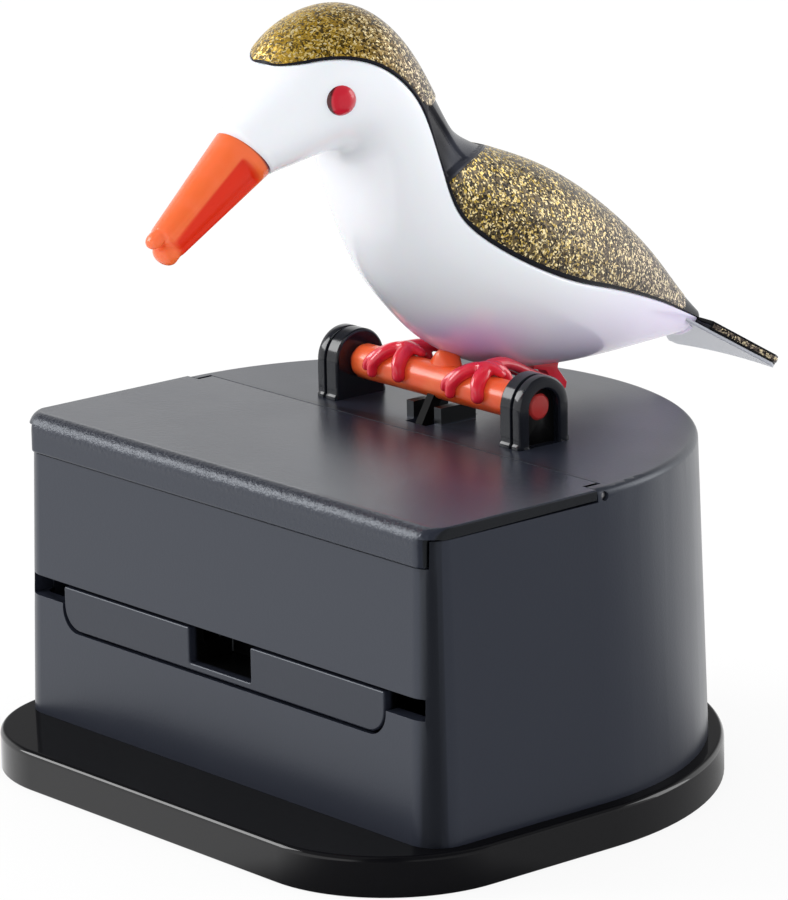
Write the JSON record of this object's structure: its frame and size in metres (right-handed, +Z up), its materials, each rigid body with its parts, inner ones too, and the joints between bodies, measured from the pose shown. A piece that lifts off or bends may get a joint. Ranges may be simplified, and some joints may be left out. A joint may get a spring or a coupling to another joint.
{
  "type": "toothpick dispenser",
  "caption": "Box-shaped toothpick dispenser with a bird on a perch: tipping the bird forward slides out a tray with one pick for its beak to take.",
  "frame": {"origin": "underside of the plinth, straight below the axis of the perch", "axes": "+Z up, the front with the tray and the beak faces -Y, +X to the right when seen from behind the front"},
  "size_m": [0.0826, 0.0947, 0.096],
  "materials": {
    "box_plastic": "satin moulded black",
    "plinth_plastic": "polished black",
    "inner_plastic": "moulded black",
    "bracket_plastic": "glossy black",
    "white_plastic": "glossy white",
    "neck_plastic": "satin dark grey",
    "gold_glitter": "gold glitter",
    "orange_plastic": "translucent orange",
    "red_plastic": "glossy crimson",
    "steel": "zinc plated"
  },
  "bodies": {
    "box": {"base_plate": "plinth_plastic", "base_screws": "steel", "housing": "box_plastic", "lid_hinge_pin": "steel", "tray_bed": "inner_plastic", "pick_hopper": "inner_plastic", "rocker_pin": "steel", "rocker_stand": "inner_plastic", "return_spring": "steel", "spring_anchor": "inner_plastic", "perch_bracket_left": "bracket_plastic", "perch_bracket_right": "bracket_plastic"},
    "lid": {"lid": "box_plastic"},
    "tray": {"tray": "box_plastic"},
    "rocker": {"rocker": "inner_plastic"},
    "bird": {"perch": "orange_plastic", "drive_finger": "bracket_plastic", "bird_body": "white_plastic", "bird_back": "neck_plastic", "crown_panel": "gold_glitter", "back_panel": "gold_glitter", "tail": "neck_plastic", "beak": "orange_plastic", "eye_left": "red_plastic", "eye_right": "red_plastic", "foot_left": "red_plastic", "foot_right": "red_plastic", "rest_fin": "red_plastic"}
  },
  "joints": [
    {"name": "bird_tilt", "type": "hinge", "parent": "box", "child": "bird", "pos_m": [0, 0, 0.0474], "axis": [1, 0, 0], "range_deg": [0, 62], "stiffness_Nm_per_rad": 0.01, "springref_deg": -22.92},
    {"name": "rocker_swing", "type": "hinge", "parent": "box", "child": "rocker", "pos_m": [0, 0, 0.029], "axis": [-1, 0, 0], "range_deg": [0, 46.8]},
    {"name": "tray_slide", "type": "slide", "parent": "box", "child": "tray", "axis": [0, -1, 0], "range_m": [0, 0.0084], "deforming": ["return_spring"]},
    {"name": "lid_hinge", "type": "hinge", "parent": "box", "child": "lid", "pos_m": [0, -0.008, 0.04185], "axis": [-1, 0, 0], "range_deg": [0, 5]}
  ],
  "couplings": [
    {"joint": "rocker_swing", "follows": "bird_tilt", "ratio": 0.75484},
    {"joint": "tray_slide", "follows": "bird_tilt", "m_per_rad": 0.0077626}
  ]
}
